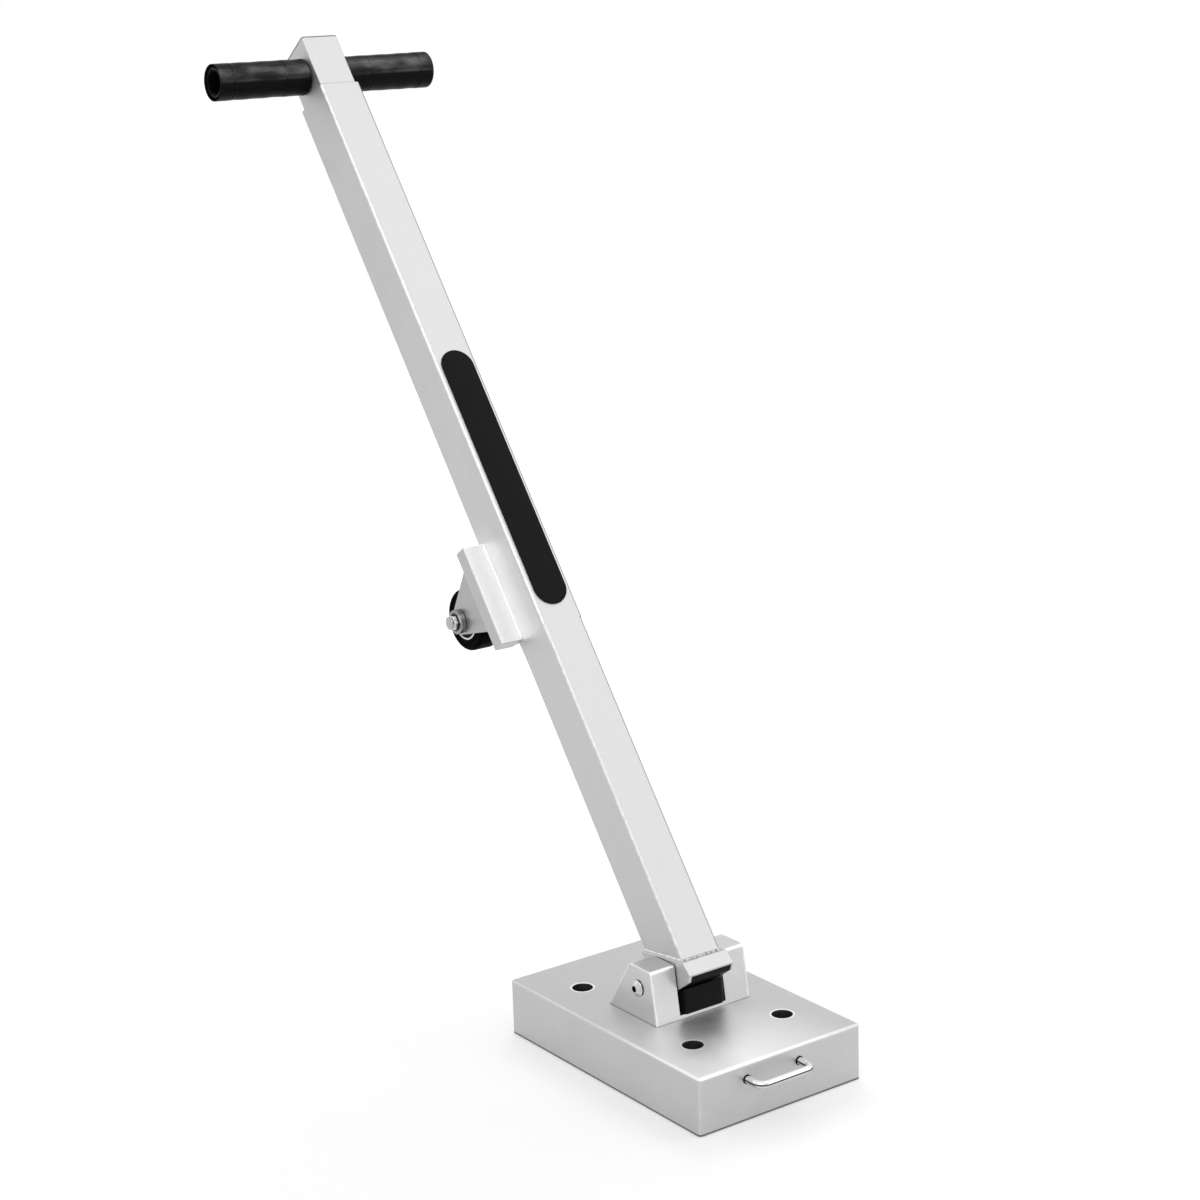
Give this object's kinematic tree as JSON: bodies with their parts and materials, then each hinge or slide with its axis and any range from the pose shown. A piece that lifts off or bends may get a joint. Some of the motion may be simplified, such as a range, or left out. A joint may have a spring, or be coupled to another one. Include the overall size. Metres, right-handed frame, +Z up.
{
  "type": "manhole cover lifter",
  "caption": "Magnetic manhole cover lifter: flat magnet base, hinged box-tube lever that leans back, fulcrum wheel behind it, and a telescoping T-handle with soft grips.",
  "frame": {"origin": "middle of the base's underside, where the magnet face meets the cover", "axes": "+Z up, +X along the hinge pin, +Y the way the lever leans"},
  "size_m": [0.276, 0.8549, 1.0237],
  "materials": {
    "aluminium": "satin silver, fine brushed",
    "steel": "plain machined steel",
    "stainless": "polished stainless",
    "black_steel": "black oxide",
    "magnet": "plated magnet block",
    "bronze": "plain bearing bronze",
    "rubber": "matt black, fine grain",
    "grip": "satin black grip rubber",
    "tyre": "black solid tyre",
    "nylon": "black nylon"
  },
  "bodies": {
    "base": {"base_housing": "aluminium", "yoke_plate": "steel", "magnets": "magnet", "wear_plate": "stainless", "plate_screws": "steel", "base_bolts": "black_steel", "hinge_bracket": "aluminium", "bracket_screws": "steel", "buffer_block": "rubber", "pivot_pin": "steel", "pivot_screws": "stainless", "friction_washers": "bronze", "pull_handle": "stainless", "pull_rings": "rubber"},
    "lever": {"lever_foot": "aluminium", "foot_bushes": "bronze", "lower_tube": "aluminium", "joint_sleeve": "aluminium", "sleeve_screws": "steel", "upper_tube": "aluminium", "front_pad": "rubber", "wheel_saddle": "aluminium", "saddle_screws": "steel", "left_cheek": "aluminium", "right_cheek": "aluminium", "axle_bolt": "stainless", "axle_nut": "stainless", "axle_collars": "stainless", "axle_washers": "steel", "lock_boss": "aluminium", "lock_screw": "steel"},
    "wheel": {"wheel_hub": "aluminium", "wheel_tyre": "tyre", "wheel_bearings": "steel"},
    "handle": {"handle_tube": "aluminium", "handle_plug": "nylon", "top_cap": "aluminium", "crossbar": "steel", "left_grip": "grip", "right_grip": "grip", "end_plugs": "nylon", "crossbar_screw": "steel"}
  },
  "joints": [
    {"name": "lever_tilt", "type": "hinge", "parent": "base", "child": "lever", "pos_m": [0, -0.008, 0.093], "axis": [-1, 0, 0], "range_deg": [0, 46.5]},
    {"name": "wheel_spin", "type": "hinge", "parent": "lever", "child": "wheel", "pos_m": [0, 0.35734, 0.39677], "axis": [1, 0, 0], "continuous": true},
    {"name": "handle_slide", "type": "slide", "parent": "lever", "child": "handle", "axis": [0, 0.5913, 0.8064], "range_m": [0, 0.32]}
  ]
}
